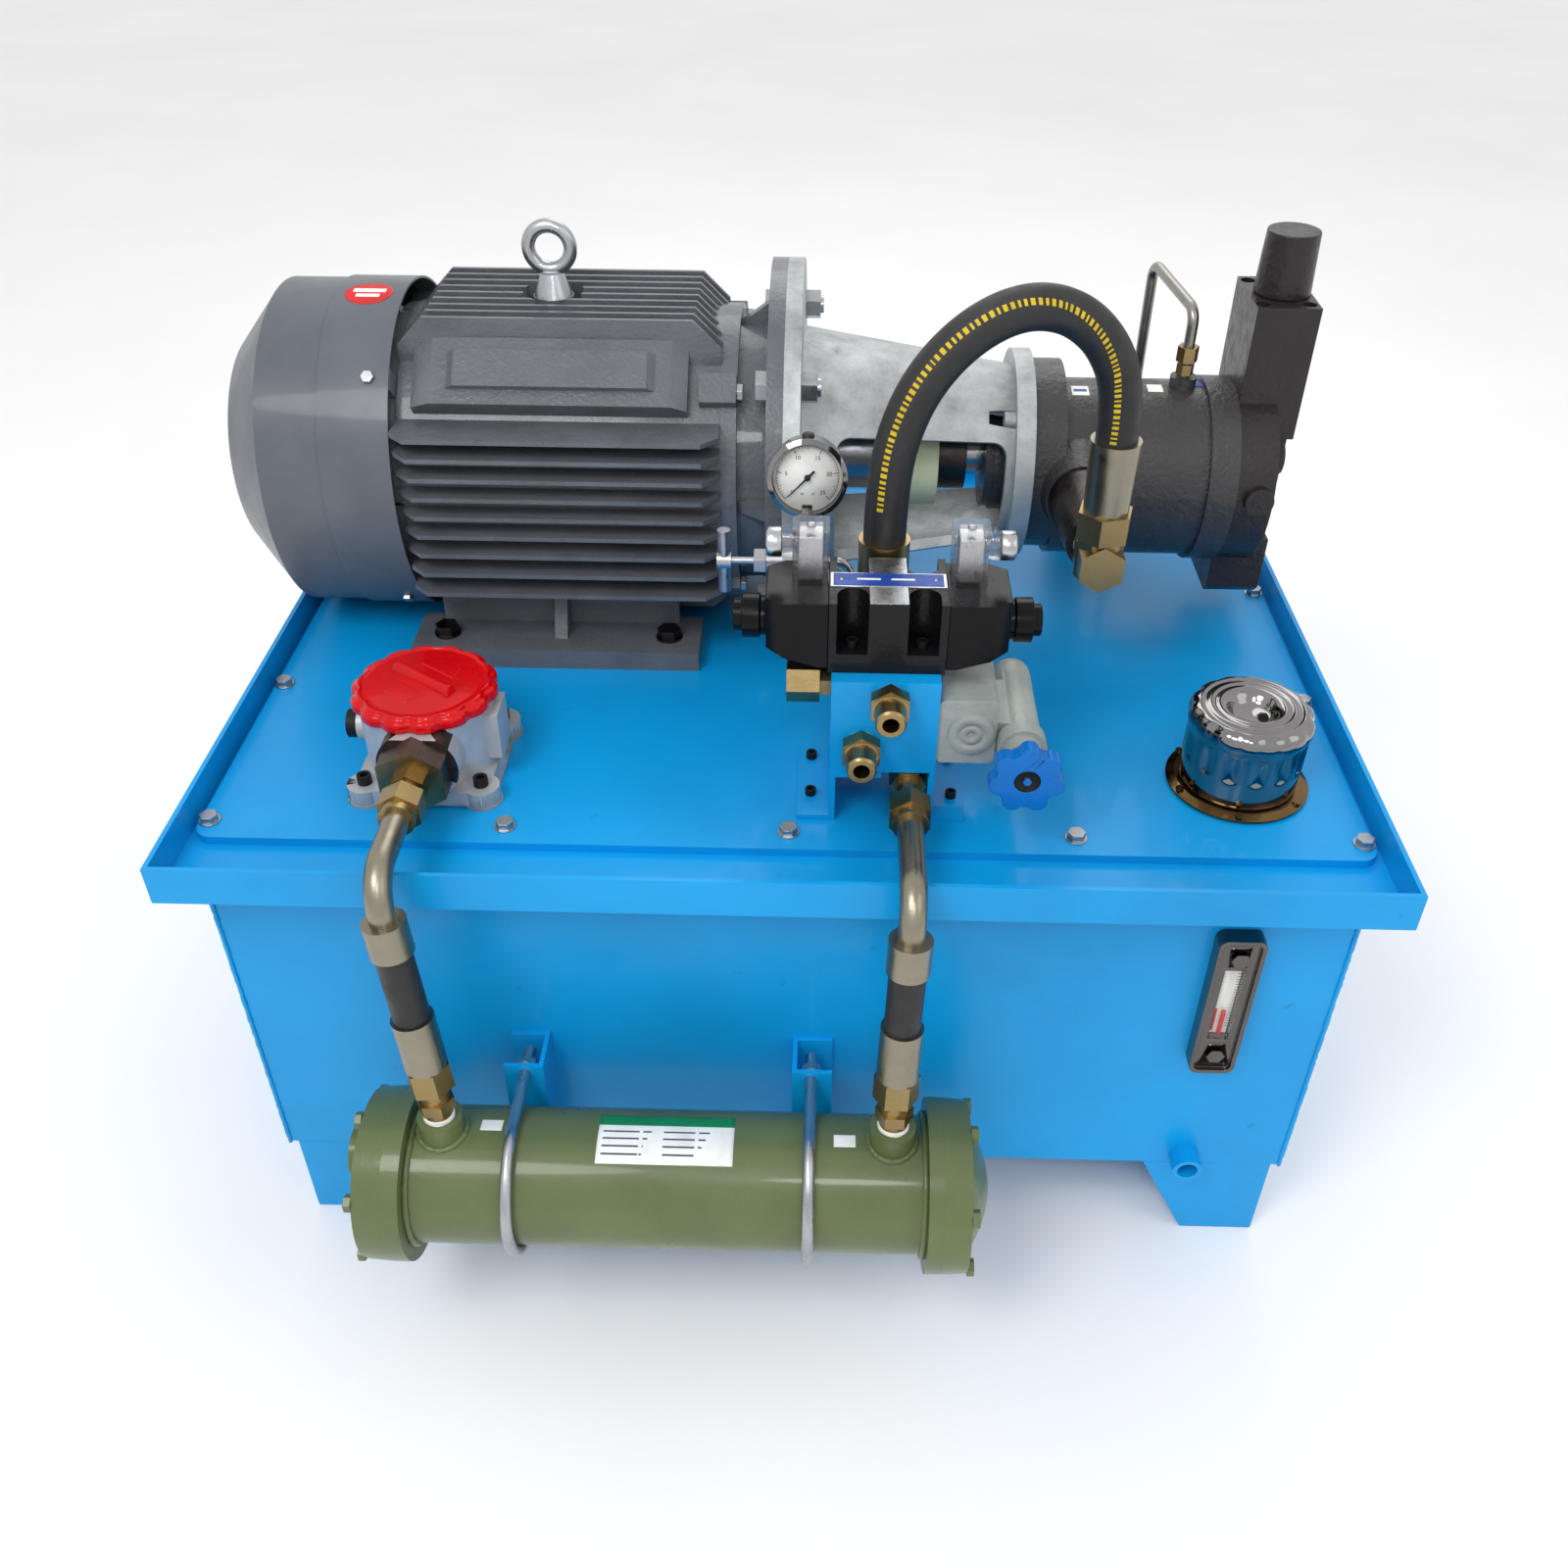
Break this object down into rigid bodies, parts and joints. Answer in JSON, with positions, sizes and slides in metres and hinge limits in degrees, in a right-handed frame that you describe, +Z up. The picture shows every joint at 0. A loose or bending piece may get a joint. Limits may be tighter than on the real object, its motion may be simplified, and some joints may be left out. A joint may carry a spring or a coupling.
{
  "type": "hydraulic power unit",
  "caption": "Oil tank on two box feet carrying an electric motor, coupled pump, valve manifold, gauge, return filter, filler and a front water cooler.",
  "frame": {"origin": "middle of the footprint at floor level", "axes": "+X along the tank to the right, +Y to the back (away from the cooler), +Z up"},
  "size_m": [0.99, 0.9, 0.8435],
  "materials": {
    "blue_paint": "gloss",
    "cooler_paint": "semi-gloss",
    "motor_paint": "semi-gloss",
    "pump_paint": "satin",
    "valve_black": "satin",
    "grey_paint": "semi-gloss",
    "cast_aluminium": "as cast",
    "zinc_steel": "zinc plated",
    "dark_steel": "oiled",
    "chrome": "polished",
    "brass": "plated",
    "black_rubber": "matt",
    "black_plastic": "moulded",
    "clear_plastic": "clear",
    "red_plastic": "gloss",
    "blue_plastic": "semi-gloss",
    "nylon": "natural nylon",
    "gauge_window": "clear",
    "copper": "enamelled wire",
    "filter_paper": "pleated"
  },
  "bodies": {
    "power_unit": {"tank_shell": "blue_paint", "tank_feet": "blue_paint", "spill_tray": "blue_paint", "tank_lid": "blue_paint", "lid_gasket": "black_rubber", "lid_bolts": "zinc_steel", "level_gauge_frame": "chrome", "level_gauge_window": "gauge_window", "cooler_brackets": "blue_paint", "cooler_shell": "cooler_paint", "cooler_end_covers": "cooler_paint", "cooler_cover_bolts": "cooler_paint", "cooler_tube_bundle": "copper", "cooler_u_bolts": "zinc_steel", "cooler_hoses": "black_rubber", "hose_fittings": "zinc_steel", "motor_frame": "motor_paint", "motor_stator": "copper", "motor_rear_shield": "motor_paint", "motor_flange_shield": "motor_paint", "shaft_bearings": "chrome", "fan_cover": "motor_paint", "motor_screws": "zinc_steel", "terminal_box": "motor_paint", "motor_foot_bolts": "dark_steel", "eye_bolt": "zinc_steel", "bell_housing": "cast_aluminium", "bell_housing_bolts": "zinc_steel", "pump_casing": "pump_paint", "pump_control_block": "pump_paint", "pump_control_cap": "pump_paint", "pump_outlet_fitting": "brass", "suction_line": "dark_steel", "case_drain_line": "dark_steel", "pressure_hose": "black_rubber", "manifold_block": "blue_paint", "manifold_bracket": "blue_paint", "port_fittings": "brass", "socket_screws": "dark_steel", "valve_body": "valve_black", "solenoids": "black_plastic", "connector_plugs": "clear_plastic", "gauge_isolator": "zinc_steel", "pressure_gauge": "chrome", "relief_valve": "grey_paint", "return_filter_head": "cast_aluminium", "filter_element": "filter_paper", "filler_flange": "brass"},
    "shaft": {"motor_rotor": "dark_steel", "motor_fan": "black_plastic", "coupling_motor_hub": "dark_steel", "coupling_sleeve": "nylon", "coupling_pump_hub": "dark_steel", "pump_rotor": "dark_steel"},
    "spool": {"valve_spool": "dark_steel"},
    "isolator_tee": {"isolator_handle": "zinc_steel"},
    "needle": {"gauge_needle": "black_plastic"},
    "relief_wheel": {"relief_handwheel": "blue_plastic"},
    "filter_lid": {"return_filter_cap": "red_plastic"},
    "breather": {"filler_cap": "chrome"}
  },
  "joints": [
    {"name": "shaft_spin", "type": "hinge", "parent": "power_unit", "child": "shaft", "pos_m": [0.01, 0.15005, 0.6085], "axis": [1, 0, 0], "continuous": true},
    {"name": "spool_shift", "type": "slide", "parent": "power_unit", "child": "spool", "axis": [1, 0, 0], "range_m": [-0.003, 0.003], "stiffness_N_per_m": 4000},
    {"name": "isolator_turn", "type": "hinge", "parent": "power_unit", "child": "isolator_tee", "pos_m": [0.0235, -0.06695, 0.607], "axis": [-1, 0, 0], "range_deg": [0, 540]},
    {"name": "needle_turn", "type": "hinge", "parent": "power_unit", "child": "needle", "pos_m": [0.0235, -0.05063, 0.67419], "axis": [0, 0.9848, -0.1736], "range_deg": [0, 270], "stiffness_Nm_per_rad": 0.004},
    {"name": "relief_turn", "type": "hinge", "parent": "power_unit", "child": "relief_wheel", "pos_m": [0.196, -0.26595, 0.531], "axis": [0, 1, 0], "range_deg": [-720, 720]},
    {"name": "filter_cap_unscrew", "type": "hinge", "parent": "power_unit", "child": "filter_lid", "pos_m": [-0.288, -0.15495, 0.526], "axis": [0, 0, 1], "range_deg": [0, 540]},
    {"name": "filler_cap_lift", "type": "slide", "parent": "power_unit", "child": "breather", "axis": [0, 0, 1], "range_m": [0, 0.06]}
  ]
}
